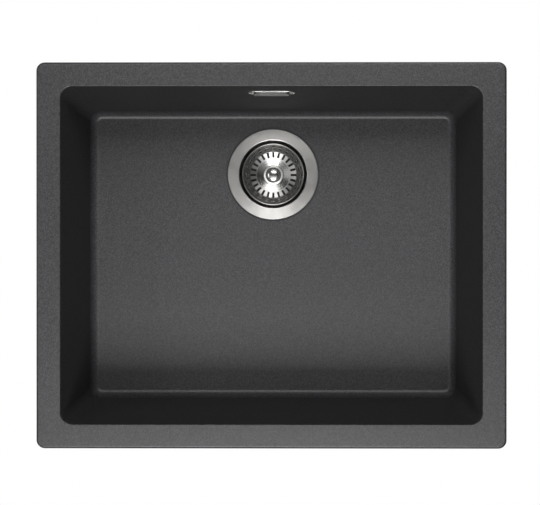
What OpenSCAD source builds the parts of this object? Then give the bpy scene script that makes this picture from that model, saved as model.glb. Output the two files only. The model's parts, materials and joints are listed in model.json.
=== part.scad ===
// Inset kitchen sink: one rectangular composite bowl with a rim that lies on a worktop,
// a basket strainer waste, an overflow piped to the waste, and swing-out worktop clips.
// Millimetres. The origin is the centre of the worktop cut-out, on the worktop's top face.
// +X is to the right, +Y to the rear, where the overflow is, and +Z is up.

/* [Rim] */
// Width of the rim, left to right
rim_w = 560; // [480:1:700]
// Depth of the rim, front to back
rim_d = 460; // [430:1:540]
// Thickness of the rim
rim_t = 9; // [6:0.5:14]
// Width of the rim between its outer edge and the bowl's mouth
rim_band = 29; // [28:0.5:40]
// Radius of the rim's outer corners in plan
rim_corner_r = 10; // [6:0.5:30]
// Height of the rounding along the rim's top edge
rim_edge_r = 2.5; // [1:0.1:4]
// How far the rim laps over the worktop's cut edge
rim_lap = 10; // [6:0.5:11]
// Thickness of the sealing tape under the rim
seal_t = 1.5; // [1:0.1:3]
// Width of the sealing tape
seal_w = 7; // [4:0.5:8]

/* [Bowl] */
// Depth of the bowl, from the rim's top to its floor
bowl_depth = 200; // [150:1:230]
// Lean of the bowl's walls, in degrees
wall_draft = 5.5; // [2:0.1:6.5]
// Thickness of the bowl's walls
wall_t = 8; // [6:0.5:9]
// Thickness of the bowl's floor
floor_t = 10; // [8:0.5:14]
// Radius of the bowl's upright corners at its mouth
mouth_corner_r = 13; // [10:0.5:40]
// Radius of the bowl's upright corners at its floor
floor_corner_r = 17; // [14:0.5:40]
// Radius between the walls and the floor
floor_fillet_r = 10; // [6:0.5:14]
// Rounding of the edge where the walls meet the rim
mouth_edge_r = 2; // [1:0.1:3]
// Distance from the bowl's rear edge to the centre of the waste
waste_from_rear = 99; // [90:1:140]

/* [Waste] */
// Radius of the strainer's visible flange
flange_r = 57.5; // [54:0.5:60]
// Depth of the seat that the flange is let into
seat_depth = 3; // [2.6:0.1:4]
// Radius of the waste hole through the floor
waste_hole_r = 45; // [44:0.1:46]
// Thickness of the pressed steel of the strainer
steel_t = 1; // [0.8:0.1:1.2]
// Radius of the strainer cup's mouth
cup_r = 42.5; // [42:0.1:43]
// Depth of the strainer cup, from the bowl's floor to the cup's bottom
cup_depth = 54; // [50:0.5:60]
// Radius of the strainer cup's lower sump
sump_r = 31; // [30:0.5:33]
// Thickness of the thick washer between the floor and the waste body
body_gasket_t = 3; // [2:0.5:5]
// Outer radius of the waste body's chamber
chamber_r = 50; // [49:0.5:52]
// Wall of the waste body
body_wall = 4; // [3:0.1:5]
// Outer radius of the waste outlet, a one and a half inch pipe thread
outlet_r = 23.9; // [22:0.1:25]
// Bore radius of the waste outlet
outlet_bore_r = 20.5; // [18:0.1:21]
// Length of the waste outlet below the chamber
outlet_len = 36; // [30:1:60]
// Radius of the shank of the long screw that holds the strainer together
waste_screw_r = 4; // [3:0.1:5]

/* [Strainer basket] */
// Radius of the basket's rim
basket_r = 39.6; // [38:0.1:40]
// Drop from the bowl's floor to the basket's rim
basket_drop = 8; // [6:0.5:12]
// Drop from the bowl's floor to the basket's floor
basket_floor_drop = 37; // [36:0.5:38]
// Thickness of the basket's steel
basket_t = 0.8; // [0.6:0.1:1]
// Radius of the basket's flat floor
basket_floor_r = 32.4; // [31.5:0.1:33.5]
// Number of slots round the basket's floor, and of windows in each row of its wall
slot_count = 24; // [12:1:28]
// Width of a floor slot
slot_w = 2.3; // [1.5:0.1:3]
// Inner end of the floor slots
slot_in_r = 22.5; // [22:0.1:24]
// Outer end of the floor slots
slot_out_r = 29.5; // [27:0.1:30]
// Width of a wall window
window_w = 4.4; // [2:0.1:5]
// Height of a wall window
window_h = 6; // [3:0.5:7]
// Radius of the shallow dish in the middle of the basket's floor
dish_r = 21.6; // [20:0.1:22]
// Depth of that dish
dish_depth = 1.8; // [1:0.1:2]
// Radius of the knob's foot
knob_foot_r = 12.4; // [11:0.1:13]
// Radius of the knob's button
knob_r = 7.8; // [6.5:0.1:8.5]
// Height of the knob above the dish
knob_h = 11; // [9:0.5:14]
// Radius of the basket's stem
stem_r = 3; // [2.5:0.1:3.3]

/* [Overflow] */
// Drop from the rim's top to the centre of the overflow
overflow_drop = 44; // [40:0.5:52]
// Width of the overflow cover
cover_w = 56; // [54:0.5:64]
// Height of the overflow cover
cover_h = 24; // [20:0.5:26]
// Thickness of the overflow cover's plate
cover_t = 1; // [0.8:0.1:1.6]
// Width of the hood pressed in the overflow cover
hood_w = 43; // [41:0.5:44]
// Height of the hood
hood_h = 18; // [15:0.5:19]
// How far the hood stands out of the cover's plate
hood_out = 2.1; // [1.8:0.1:3]
// Width of the overflow's opening
inlet_w = 38; // [30:0.5:40]
// Height of the overflow's opening
inlet_h = 10; // [8:0.5:12]
// Distance between the two overflow screws
overflow_screw_gap = 49; // [48.5:0.5:50]
// Outer radius of the overflow hose over its ribs
hose_r = 10.2; // [9.6:0.1:10.8]
// Radius of the hose in the valleys between its ribs
hose_valley_r = 8.8; // [8.6:0.1:9]
// Outer radius of the spigots that the hose is pushed on
spigot_r = 7.4; // [6.5:0.1:7.6]
// Bore radius of the overflow's spigots
spigot_bore_r = 6; // [5:0.1:6.2]
// Distance between the hose's ribs
rib_pitch = 3.4; // [3:0.1:4.5]
// Straight length at the hose's lower end
hose_straight = 21; // [21:0.5:26]

/* [Worktop clips] */
// Distance from the middle to the two clips on each long side
clip_x = 150; // [90:1:180]
// Radius of the clip bosses moulded under the rim
boss_r = 7; // [6:0.1:7.5]
// Length of the clip bosses below the worktop's top face
boss_len = 24; // [20:0.5:26]
// Gap between the bowl's wall and the axis of a clip screw
clip_stand = 3.5; // [3:0.1:4]
// Radius of the clip screws
clip_screw_r = 2.5; // [2:0.1:3]
// Thickest worktop that the clips take
worktop_max = 40; // [38:0.5:44]
// Rise of a clip as its screw is turned in
clip_travel = 13; // [8:0.5:14]
// Thickness of the clip arm's steel
arm_t = 2; // [1.5:0.1:2.5]
// Width of the clip arm
arm_w = 13; // [10:0.1:13]
// Reach of the clip arm from its screw
arm_reach = 38; // [30:0.5:44]
// Rise of the clip arm's stepped end
arm_rise = 5; // [3:0.5:7]

/* [Hidden] */
$fn = 96;
blend_fn = 32;
cut = 1;
fit = 0.1;
slide_fit = 0.05;
touch = 0.02;

composite = "#35373a";
rubber = "#1e1e1e";
steel = "#b9bcc0";
moulding = "#e6e7e8";
brass = "#c9a14e";

rim_top = seal_t + rim_t;
bowl_w = rim_w - 2 * rim_band;
bowl_d = rim_d - 2 * rim_band;
floor_z = rim_top - bowl_depth;
under_z = floor_z - floor_t;
wall_slope = tan(wall_draft);
outer_fillet_r = floor_fillet_r + 2;
cutout_w = rim_w - 2 * rim_lap;
cutout_d = rim_d - 2 * rim_lap;

// Half widths of the bowl's inside at height z
function inside_x(z) = bowl_w / 2 - (rim_top - z) * wall_slope;
function inside_y(z) = bowl_d / 2 - (rim_top - z) * wall_slope;

// Waste: heights here are measured from the bowl's floor
waste_y = bowl_d / 2 - waste_from_rear;
seat_r = flange_r + 2;
flange_edge_t = 0.9;
flange_rise = 0.25;
lip_r = cup_r + 1.6;
cup_taper = 1;
cone_top = -37;
cone_bottom = -43;
cup_bottom = -cup_depth;
gasket_out_r = seat_r - 0.3;
gasket_in_r = waste_hole_r + 1;
// Height of the flange's underside at radius r
function flange_under(r) =
    -flange_edge_t - 0.4 + flange_rise * (flange_r - r) / (flange_r - lip_r);
// Radius of the conical seat for the basket's seal at height z
function cone_r(z) =
    sump_r + (cup_r - cup_taper - sump_r) * (z - cone_bottom) / (cone_top - cone_bottom);

body_top = under_z - body_gasket_t;
body_flange_r = chamber_r + 4.5;
body_flange_t = 4;
chamber_bore_r = chamber_r - body_wall;
chamber_floor = floor_z + cup_bottom - steel_t - 7;
outlet_top = chamber_floor - 6;
outlet_end = outlet_top - outlet_len - body_wall;
hub_r = waste_screw_r + 5;
hub_top = outlet_top;
hub_len = 18;
arm_count = 3;
nut_af_r = waste_screw_r * 1.7;
nut_t = 6.5;
drain_hole_r = 4.5;
drain_circle_r = 19;
drain_count = 8;
screw_head_r = 7;
screw_head_h = 7;
stem_bore_r = stem_r + 0.3;

// Basket: heights here are measured from the bowl's floor
basket_top = -basket_drop;
basket_floor = -basket_floor_drop;
bead_h = 1.4;
bead_lip = 1;
floor_rise = 1.3;
window_rows = [0.40, 0.73];
dish_floor = basket_floor - dish_depth;
seat_hole_r = stem_r + slide_fit;
spacer_top = dish_floor - basket_t - fit;
seal_top = cone_bottom + 1.3;
seal_thick = 2.5;
seal_gap = 0.4;
washer_top = seal_top - seal_thick - fit;
clip_top = washer_top - 1 - fit;
clip_ring_t = 1;
knob_top = dish_floor + knob_h;
knob_cap_r = 28;
knob_bore_end = knob_top - 2.5;

// Overflow: the frame of at_overflow has its Z square to the rear wall, pointing outwards
overflow_z = rim_top - overflow_drop;
wall_square_t = wall_t * cos(wall_draft);
hood_wall = 0.8;
hood_corner_r = 4;
flange_w = cover_w + 2;
flange_h = cover_h + 2;
gasket_t = 1.5;
elbow_flange_t = 2.5;
elbow_flange_z = wall_square_t + fit + gasket_t;
elbow_depth = 10;
elbow_wall = 1.8;
elbow_h = inlet_h + 8;
elbow_w = inlet_w + 6;
elbow_drop = 13;
collar_len = 8;
spigot_len = 12;
grip_h = 0.7;
nut_wall = 1.3;
hose_nut_r = hose_r + fit + nut_wall + grip_h;
hose_nut_len = 13;
spigot_z = overflow_z - elbow_drop;
spigot_y = inside_y(spigot_z) + wall_t + hose_nut_r + 1;
hose_seal_t = 2;
hose_flange_t = 2;
cuff_len = 14;
hose_sides = 8;
facet = cos(180 / hose_sides);
hose_bore_r = (spigot_r + slide_fit) / facet;
hose_start_z = spigot_z - collar_len - hose_seal_t;
body_inlet_z = body_top - 26;
body_inlet_y = waste_y + chamber_r + collar_len;
hose_end_y = body_inlet_y + hose_seal_t;
bend_r = spigot_y - hose_end_y - hose_straight;
hose_drop = hose_start_z - body_inlet_z - bend_r;
hose_bend_len = bend_r * PI / 2;
hose_len = hose_drop + hose_bend_len + hose_straight;
rib_count = floor((hose_len - 2 * cuff_len) / rib_pitch);
rib_start = (hose_len - rib_count * rib_pitch) / 2;

// Clips: in a clip's own frame, X points away from the bowl and Z is the screw's axis
clip_off = wall_t + clip_stand;
clip_places = [
    [clip_x, bowl_d / 2 + clip_off, 90], [-clip_x, bowl_d / 2 + clip_off, 90],
    [-bowl_w / 2 - clip_off, 0, 180],
    [-clip_x, -bowl_d / 2 - clip_off, 270], [clip_x, -bowl_d / 2 - clip_off, 270],
    [bowl_w / 2 + clip_off, 0, 0]
];
insert_wall = 0.9;
insert_bore_r = clip_screw_r + 0.08;
insert_r = insert_bore_r + insert_wall;
insert_len = 12;
pilot_r = insert_bore_r + 0.2;
tooth_h = 1;
tooth_gap = 1;
arm_bottom = -worktop_max - tooth_gap - tooth_h - arm_t - arm_rise;
arm_top = arm_bottom + arm_t;
washer_t = 1;
ring_t = 0.9;
clip_head_h = 4;
clip_head_r = clip_screw_r * 1.85;
screw_clear = 2;
clip_screw_top = seal_t - 0.5 - screw_clear - clip_travel;
clip_screw_bottom = arm_bottom - fit - washer_t - fit;

module rounded_plate(w, d, r) {
    square([w - 2 * r, d], center = true);
    square([w, d - 2 * r], center = true);
    for (x = [-1, 1], y = [-1, 1])
        translate([x * (w / 2 - r), y * (d / 2 - r)])
            circle(r);
}

module ring(outer, inner, bottom, top) {
    translate([0, 0, bottom])
        linear_extrude(top - bottom)
            difference() {
                circle(outer);
                circle(inner);
            }
}

module at_corners(half_x, half_y) {
    for (x = [-1, 1], y = [-1, 1])
        translate([x * half_x, y * half_y, 0])
            children();
}

module stadium(w, h) {
    square([w - h, h], center = true);
    for (x = [-1, 1])
        translate([x * (w - h) / 2, 0])
            circle(d = h);
}

module at_waste(z = floor_z) {
    translate([0, waste_y, z])
        children();
}

module at_overflow() {
    translate([0, inside_y(overflow_z), overflow_z])
        rotate([-90 - wall_draft, 0, 0])
            children();
}

module at_clip(k) {
    translate([clip_places[k][0], clip_places[k][1], 0])
        rotate([0, 0, clip_places[k][2]])
            children();
}

// The rim, a flat slab with a rounded top edge
module rim_slab() {
    r = rim_corner_r;
    e = rim_edge_r;
    edge = [for (a = [0:22.5:90]) [r - e + e * cos(a), rim_top - e + e * sin(a)]];
    hull()
        at_corners(rim_w / 2 - r, rim_d / 2 - r)
            rotate_extrude($fn = blend_fn)
                polygon(concat([[0, seal_t], [r, seal_t]], edge, [[0, rim_top]]));
}

// A leaning box with rounded corners and a filleted bottom: the bowl's inside and its outside
module leaning_box(grow, bottom, top, bottom_r, top_r, fillet) {
    low = bottom + fillet;
    low_x = inside_x(low) + grow - fillet / cos(wall_draft) - (bottom_r - fillet);
    low_y = inside_y(low) + grow - fillet / cos(wall_draft) - (bottom_r - fillet);
    steps = 4;
    bend = [for (i = [0:steps])
        let (a = -90 + i * (90 - wall_draft) / steps)
        [bottom_r - fillet + fillet * cos(a), low + fillet * sin(a)]];
    hull() {
        at_corners(low_x, low_y)
            rotate_extrude($fn = blend_fn)
                polygon(concat([[0, bottom]], bend, [[0, low]]));
        at_corners(inside_x(top) + grow - top_r, inside_y(top) + grow - top_r)
            translate([0, 0, top - 0.01])
                cylinder(r = top_r, h = 0.01, $fn = blend_fn);
    }
}

// One bevel of the mouth's rounded edge, from an inset and height to the next
module mouth_bevel(low, low_out, high, high_out) {
    hull()
        for (s = [[low, low_out], [high, high_out]])
            at_corners(inside_x(rim_top) - mouth_corner_r, inside_y(rim_top) - mouth_corner_r)
                translate([0, 0, s[0]])
                    cylinder(r = mouth_corner_r + s[1], h = 0.01, $fn = blend_fn);
}

module clip_boss() {
    translate([0, 0, -boss_len])
        cylinder(r = boss_r, h = boss_len + seal_t + cut);
    translate([-clip_off, -boss_r, -boss_len])
        cube([clip_off, 2 * boss_r, boss_len + seal_t + cut]);
}

module bowl() {
    color(composite)
        difference() {
            union() {
                rim_slab();
                leaning_box(wall_t, under_z, seal_t + cut, floor_corner_r + wall_t,
                    mouth_corner_r + wall_t, outer_fillet_r);
                for (k = [0:len(clip_places) - 1])
                    at_clip(k)
                        clip_boss();
            }
            leaning_box(0, floor_z, rim_top + cut, floor_corner_r, mouth_corner_r,
                floor_fillet_r);
            mouth_bevel(rim_top - mouth_edge_r, -mouth_edge_r * wall_slope,
                rim_top + cut, mouth_edge_r * 0.3 + cut * 0.4);
            mouth_bevel(rim_top - mouth_edge_r * 0.3, mouth_edge_r * 0.3,
                rim_top + cut, mouth_edge_r + cut * 2.4);
            at_waste()
                translate([0, 0, -seat_depth])
                    cylinder(r = seat_r, h = seat_depth + cut);
            at_waste()
                translate([0, 0, -floor_t - cut])
                    cylinder(r = waste_hole_r, h = floor_t + 2 * cut);
            at_overflow() {
                translate([0, 0, -4])
                    linear_extrude(wall_square_t + 8)
                        stadium(inlet_w, inlet_h);
                for (x = [-0.5, 0.5])
                    translate([x * overflow_screw_gap, 0, -4])
                        cylinder(r = 2.2, h = wall_square_t + 8);
            }
            for (k = [0:len(clip_places) - 1])
                at_clip(k) {
                    translate([0, 0, -boss_len - cut])
                        cylinder(r = insert_r, h = insert_len + cut);
                    translate([0, 0, -boss_len])
                        cylinder(r = pilot_r, h = boss_len + seal_t - 0.5);
                }
        }
}

module rim_seal() {
    seal_gap_out = rim_lap - seal_w;
    color(rubber)
        linear_extrude(seal_t)
            difference() {
                rounded_plate(rim_w - 2 * seal_gap_out, rim_d - 2 * seal_gap_out,
                    rim_corner_r - 2);
                rounded_plate(cutout_w, cutout_d, rim_corner_r / 2);
            }
}

// Strainer flange and cup, pressed from one sheet
module waste_flange() {
    t = steel_t;
    wall_r = cup_r - cup_taper;
    top = [
        [flange_r, flange_under(flange_r)], [flange_r, -0.5], [flange_r - 0.7, -0.25],
        [lip_r, flange_under(lip_r) + t], [cup_r + 0.5, flange_under(lip_r) + t - 0.7],
        [cup_r, -4], [wall_r, cone_top], [sump_r, cone_bottom], [sump_r - 0.7, cup_bottom],
        [waste_screw_r + fit, cup_bottom]
    ];
    under = [
        [waste_screw_r + fit, cup_bottom - t], [sump_r - 0.7 + t, cup_bottom - t],
        [sump_r + t, cone_bottom - t / 2], [wall_r + t, cone_top - t / 2],
        [cup_r + t, -4.2], [lip_r, flange_under(lip_r)]
    ];
    color(steel)
        at_waste()
            difference() {
                rotate_extrude()
                    polygon(concat(top, under));
                for (i = [0:drain_count - 1])
                    rotate([0, 0, i * 360 / drain_count])
                        translate([drain_circle_r, 0, cup_bottom - t - cut])
                            cylinder(r = drain_hole_r, h = t + 2 * cut);
            }
}

module flange_gasket() {
    color(rubber)
        at_waste()
            rotate_extrude()
                polygon([
                    [gasket_in_r, -seat_depth], [gasket_out_r, -seat_depth],
                    [gasket_out_r, flange_under(flange_r) - touch],
                    [flange_r, flange_under(flange_r) - touch],
                    [gasket_in_r, flange_under(gasket_in_r) - touch]
                ]);
}

module body_gasket() {
    color(rubber)
        at_waste(0)
            ring(body_flange_r - 1, waste_hole_r, body_top, under_z);
}

// Socket for the hose: a threaded collar and a spigot, along +Z, with a root below 0
module hose_socket(root = 0) {
    translate([0, 0, -root]) {
        cylinder(r = hose_r, h = collar_len + root);
        cylinder(r = spigot_r, h = collar_len + spigot_len + root);
    }
}

// Plastic body under the floor: flange, chamber, overflow inlet, outlet and the screw's hub
module waste_body() {
    shell = [
        [chamber_bore_r, body_top], [body_flange_r, body_top],
        [body_flange_r, body_top - body_flange_t], [chamber_r, body_top - body_flange_t - 2],
        [chamber_r, chamber_floor], [outlet_r + 4, outlet_top - body_wall],
        [outlet_r, outlet_top - body_wall], [outlet_r, outlet_end],
        [outlet_bore_r, outlet_end], [outlet_bore_r, outlet_top], [chamber_bore_r, chamber_floor]
    ];
    color(moulding)
        at_waste(0)
            difference() {
                union() {
                    rotate_extrude()
                        polygon(shell);
                    translate([0, chamber_r, body_inlet_z])
                        rotate([-90, 0, 0])
                            hose_socket(body_wall - 1);
                    translate([0, 0, hub_top - hub_len])
                        cylinder(r = hub_r, h = hub_len);
                    for (i = [0:arm_count - 1])
                        rotate([0, 0, 90 + i * 360 / arm_count])
                            translate([0, -2, hub_top - 10])
                                cube([outlet_bore_r + 1, 4, 10]);
                }
                translate([0, 0, hub_top - hub_len - cut])
                    cylinder(r = waste_screw_r + fit, h = hub_len + 2 * cut);
                translate([0, 0, hub_top - hub_len - cut])
                    cylinder(r = nut_af_r + fit, h = nut_t + cut, $fn = 6);
                translate([0, chamber_r - body_wall - 2, body_inlet_z])
                    rotate([-90, 0, 0])
                        cylinder(r = spigot_bore_r, h = collar_len + body_wall + spigot_len + 4);
            }
}

// Long screw whose hollow head holds the basket's stem
module waste_screw() {
    end_z = hub_top - hub_len - floor_z - 1;
    color(steel)
        at_waste()
            difference() {
                union() {
                    translate([0, 0, cup_bottom])
                        cylinder(r = screw_head_r, h = screw_head_h);
                    translate([0, 0, end_z])
                        cylinder(r = waste_screw_r, h = cup_bottom - end_z);
                }
                translate([0, 0, cup_bottom + cut])
                    cylinder(r = stem_bore_r, h = screw_head_h);
            }
}

module waste_nut() {
    color(brass)
        at_waste(hub_top - hub_len)
            difference() {
                cylinder(r = nut_af_r, h = nut_t - fit, $fn = 6);
                translate([0, 0, -cut])
                    cylinder(r = waste_screw_r + slide_fit, h = nut_t + 2 * cut);
            }
}

// Pressed basket: rim bead, pierced wall, slotted floor that rises towards the wall, and a dish
module basket() {
    t = basket_t;
    wall_top_r = basket_r - bead_lip;
    flat_r = knob_foot_r + 0.3;
    top = [
        [basket_r, basket_top], [wall_top_r - t, basket_top],
        [wall_top_r - t, basket_top - bead_h],
        [basket_floor_r - t, basket_floor + 4.2], [basket_floor_r - t - 0.8, basket_floor + 2.2],
        [slot_out_r, basket_floor + floor_rise], [dish_r, basket_floor],
        [flat_r, dish_floor], [seat_hole_r, dish_floor]
    ];
    under = [
        [seat_hole_r, dish_floor - t], [flat_r, dish_floor - t], [dish_r, basket_floor - t],
        [slot_out_r + 0.2, basket_floor + floor_rise - t],
        [basket_floor_r - 0.7, basket_floor + 1.9], [basket_floor_r, basket_floor + 4.1],
        [wall_top_r, basket_top - bead_h], [basket_r, basket_top - bead_h]
    ];
    color(steel)
        at_waste()
            difference() {
                rotate_extrude()
                    polygon(concat(top, under));
                for (i = [0:slot_count - 1])
                    rotate([0, 0, i * 360 / slot_count]) {
                        translate([slot_in_r, -slot_w / 2, basket_floor - t - cut])
                            cube([slot_out_r - slot_in_r, slot_w, t + floor_rise + 2 * cut]);
                        for (row = window_rows)
                            translate([basket_floor_r - t - 2.5, -window_w / 2,
                                basket_top + row * (basket_floor - basket_top) - window_h / 2])
                                cube([basket_r - basket_floor_r + 6, window_w, window_h]);
                    }
            }
}

// Turned knob: a sloping foot, a waist for the fingers and a slightly domed button
module basket_knob() {
    base = dish_floor + fit;
    waist_r = stem_r + 1.6;
    waist_h = knob_h * 0.5;
    edge = knob_r - 1;
    cap = [for (r = [edge:-edge / 4:0]) [r, knob_top - r * r / (2 * knob_cap_r)]];
    color(steel)
        at_waste()
            rotate_extrude()
                polygon(concat([
                    [0, knob_bore_end], [seat_hole_r, knob_bore_end], [seat_hole_r, base],
                    [knob_foot_r, base], [knob_foot_r, base + 0.5],
                    [knob_foot_r - 2.2, base + 1.1], [knob_foot_r - 3, base + 0.7],
                    [waist_r + 0.6, base + 0.7], [waist_r, base + 1.4], [waist_r, base + waist_h],
                    [knob_r, base + waist_h + 1.4], [knob_r, knob_top - 1.8],
                    [knob_r - 0.4, knob_top - 1.2]
                ], cap));
}

// Stem with a groove near its foot, where the spring fingers hold it when the waste is open
module basket_stem() {
    top = knob_bore_end - 0.5;
    foot = cup_bottom + cut + 0.4;
    groove = foot + 2.2;
    color(steel)
        at_waste()
            rotate_extrude()
                polygon([
                    [0, foot], [stem_r - 0.6, foot], [stem_r, foot + 0.6], [stem_r, groove],
                    [stem_r - 0.5, groove + 0.4], [stem_r - 0.5, groove + 1.2],
                    [stem_r, groove + 1.6], [stem_r, top], [0, top]
                ]);
}

module basket_spacer() {
    color(moulding)
        at_waste()
            ring(8, seat_hole_r, seal_top + fit, spacer_top);
}

// Rubber disc that closes on the cup's conical seat
module basket_seal() {
    top = seal_top;
    low = seal_top - seal_thick;
    color(rubber)
        at_waste()
            rotate_extrude()
                polygon([
                    [seat_hole_r, low], [sump_r - 2, low],
                    [cone_r(cone_bottom) - seal_gap, low + 1],
                    [cone_r(top) - seal_gap - 0.2, top], [seat_hole_r, top]
                ]);
}

module basket_washer() {
    color(steel)
        at_waste()
            ring(12, seat_hole_r, washer_top - 1, washer_top);
}

module basket_clip() {
    color(steel)
        at_waste()
            ring(stem_r + 2, seat_hole_r, clip_top - clip_ring_t, clip_top);
}

// Outline of the overflow cover's hood: round at the top corners, straight down to an open foot
module hood_outline(inset, foot) {
    rounded_plate(hood_w - 2 * inset, hood_h - 2 * inset, hood_corner_r - inset);
    translate([-hood_w / 2 + inset, 0])
        square([hood_w - 2 * inset, hood_h / 2 + foot]);
}

// Overflow cover: a thin plate on the wall with a shallow hood over the opening
module overflow_cover() {
    face = -cover_t - fit;
    color(steel)
        at_overflow()
            difference() {
                union() {
                    translate([0, 0, face])
                        linear_extrude(cover_t)
                            rounded_plate(cover_w, cover_h, cover_h / 3);
                    translate([0, 0, face - hood_out])
                        linear_extrude(hood_out)
                            hood_outline(0, 0);
                }
                translate([0, 0, face - hood_out + hood_wall])
                    linear_extrude(hood_out + cover_t)
                        hood_outline(hood_wall, 0.2);
                for (x = [-0.5, 0.5])
                    translate([x * overflow_screw_gap, 0, face])
                        rotate_extrude()
                            polygon([[0, -cut], [2.5, -cut], [2.5, 0], [1.9, 0.6],
                                [1.9, cover_t + cut], [0, cover_t + cut]]);
            }
}

module overflow_gasket() {
    color(rubber)
        at_overflow()
            translate([0, 0, wall_square_t + fit])
                linear_extrude(gasket_t - fit)
                    difference() {
                        rounded_plate(flange_w, flange_h, 4);
                        stadium(inlet_w, inlet_h);
                        for (x = [-0.5, 0.5])
                            translate([x * overflow_screw_gap, 0])
                                circle(2.2);
                    }
}

// Plastic box behind the wall that turns the overflow down into the hose
module overflow_elbow() {
    lid_z = elbow_flange_z + elbow_flange_t;
    room = elbow_depth - elbow_wall;
    color(moulding)
        difference() {
            union() {
                at_overflow() {
                    translate([0, 0, elbow_flange_z])
                        linear_extrude(elbow_flange_t)
                            rounded_plate(flange_w, flange_h, 4);
                    translate([-elbow_w / 2, -elbow_h / 2, elbow_flange_z])
                        cube([elbow_w, elbow_h, elbow_flange_t + elbow_depth]);
                    for (x = [-0.5, 0.5])
                        translate([x * overflow_screw_gap, 0, elbow_flange_z])
                            cylinder(r = 3.6, h = elbow_flange_t + 6);
                }
                hull() {
                    at_overflow()
                        translate([-elbow_w / 3, elbow_h / 2 - 3, lid_z + 0.5])
                            cube([elbow_w * 2 / 3, 3.6, elbow_depth - 1.2]);
                    translate([0, spigot_y, spigot_z - 0.5])
                        cylinder(r = hose_r - 0.3, h = 1, $fn = blend_fn);
                }
                translate([0, spigot_y, spigot_z])
                    rotate([180, 0, 0])
                        hose_socket();
            }
            at_overflow()
                translate([0, 0, elbow_flange_z - cut])
                    linear_extrude(elbow_flange_t + room + cut)
                        stadium(inlet_w, inlet_h);
            hull() {
                at_overflow()
                    translate([-elbow_w / 4, 0, lid_z + 1])
                        cube([elbow_w / 2, inlet_h / 2 - 1, room - 2]);
                translate([0, spigot_y, spigot_z - 1])
                    cylinder(r = spigot_bore_r - 0.3, h = 1, $fn = blend_fn);
            }
            translate([0, spigot_y, spigot_z - collar_len - spigot_len - cut])
                cylinder(r = spigot_bore_r, h = collar_len + spigot_len + cut - 0.4);
            at_overflow()
                for (x = [-0.5, 0.5])
                    translate([x * overflow_screw_gap, 0, elbow_flange_z - cut])
                        cylinder(r = 1.9, h = elbow_flange_t + 7 + cut);
        }
}

// Two countersunk screws from the cover into the elbow
module overflow_screws() {
    color(steel)
        at_overflow()
            for (x = [-0.5, 0.5])
                translate([x * overflow_screw_gap, 0, -cover_t - fit])
                    difference() {
                        rotate_extrude()
                            polygon([[0, 0], [2.4, 0], [1.8, 0.6], [1.8, 17], [0, 17.8]]);
                        translate([-0.3, -1.6, -cut])
                            cube([0.6, 3.2, cut + 0.5]);
                        translate([-1.6, -0.3, -cut])
                            cube([3.2, 0.6, cut + 0.5]);
                    }
}

// The hose's centre line: down from the elbow, round the bend and forward to the waste body.
// Place and direction, as [y, z], at a distance s from the elbow's end
function hose_at(s) =
    s < hose_drop ? [spigot_y, hose_start_z - s]
    : s < hose_drop + hose_bend_len
        ? let (a = (s - hose_drop) / bend_r * 180 / PI)
            [spigot_y - bend_r * (1 - cos(a)), body_inlet_z + bend_r * (1 - sin(a))]
        : [hose_end_y + hose_len - s, body_inlet_z];
function hose_turn(s) =
    s < hose_drop ? 0
    : s < hose_drop + hose_bend_len ? (s - hose_drop) / bend_r * 180 / PI : 90;
// One ring of points round the centre line
function hose_ring(s, r) =
    let (p = hose_at(s), a = hose_turn(s))
    [for (i = [0:hose_sides - 1])
        let (u = (i + 0.5) * 360 / hose_sides)
        [r * cos(u), p[0] + r * sin(u) * cos(a), p[1] + r * sin(u) * sin(a)]];
hose_skin = concat(
    [[0, hose_r], [hose_flange_t, hose_r], [hose_flange_t + 0.01, hose_valley_r]],
    [for (i = [0:rib_count - 1])
        let (s = rib_start + i * rib_pitch)
        each [[s, hose_valley_r], [s + rib_pitch / 2, hose_r]]],
    [[hose_len - rib_start, hose_valley_r], [hose_len - hose_flange_t - 0.01, hose_valley_r],
        [hose_len - hose_flange_t, hose_r], [hose_len, hose_r]]
);
bore_steps = 10;
hose_bore = concat([0, hose_drop],
    [for (i = [1:bore_steps]) hose_drop + hose_bend_len * i / bore_steps], [hose_len]);

// Ribbed hose as one closed tube with its bore
module overflow_hose() {
    n = hose_sides;
    outer = len(hose_skin);
    inner = len(hose_bore);
    rings = concat(
        [for (s = hose_skin) hose_ring(s[0], s[1])],
        [for (i = [inner - 1:-1:0]) hose_ring(hose_bore[i], hose_bore_r)]
    );
    total = outer + inner;
    points = [for (r = rings) each r];
    faces = [for (j = [0:total - 1], i = [0:n - 1])
        let (a = j * n + i, b = j * n + (i + 1) % n,
            c = ((j + 1) % total) * n + (i + 1) % n, d = ((j + 1) % total) * n + i)
        each [[a, b, c], [a, c, d]]];
    color("#d9dadb")
        polyhedron(points, faces, convexity = 10);
}

module hose_seal() {
    ring(hose_r - 0.4, spigot_r + slide_fit, 0, hose_seal_t);
}

module hose_seal_upper() {
    color(rubber)
        translate([0, spigot_y, hose_start_z])
            hose_seal();
}

module hose_seal_lower() {
    color(rubber)
        translate([0, body_inlet_y, body_inlet_z])
            rotate([-90, 0, 0])
                hose_seal();
}

// Coupling nut along +Z: its open end is on the collar, and its lip holds the hose's flange
module hose_nut() {
    lip_z = collar_len + hose_seal_t + hose_flange_t + fit;
    start = lip_z + 2 - hose_nut_len;
    outer = hose_nut_r - grip_h;
    difference() {
        union() {
            translate([0, 0, start])
                cylinder(r = outer, h = hose_nut_len);
            for (i = [0:11])
                rotate([0, 0, i * 30])
                    translate([outer - 0.4, -0.8, start])
                        cube([grip_h + 0.4, 1.6, hose_nut_len - 1]);
        }
        translate([0, 0, start - cut])
            cylinder(r = hose_r + fit, h = lip_z - start + cut);
        translate([0, 0, lip_z - cut])
            cylinder(r = hose_valley_r + fit, h = 4);
    }
}

module hose_nut_upper() {
    color(moulding)
        translate([0, spigot_y, spigot_z])
            rotate([180, 0, 0])
                hose_nut();
}

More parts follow.
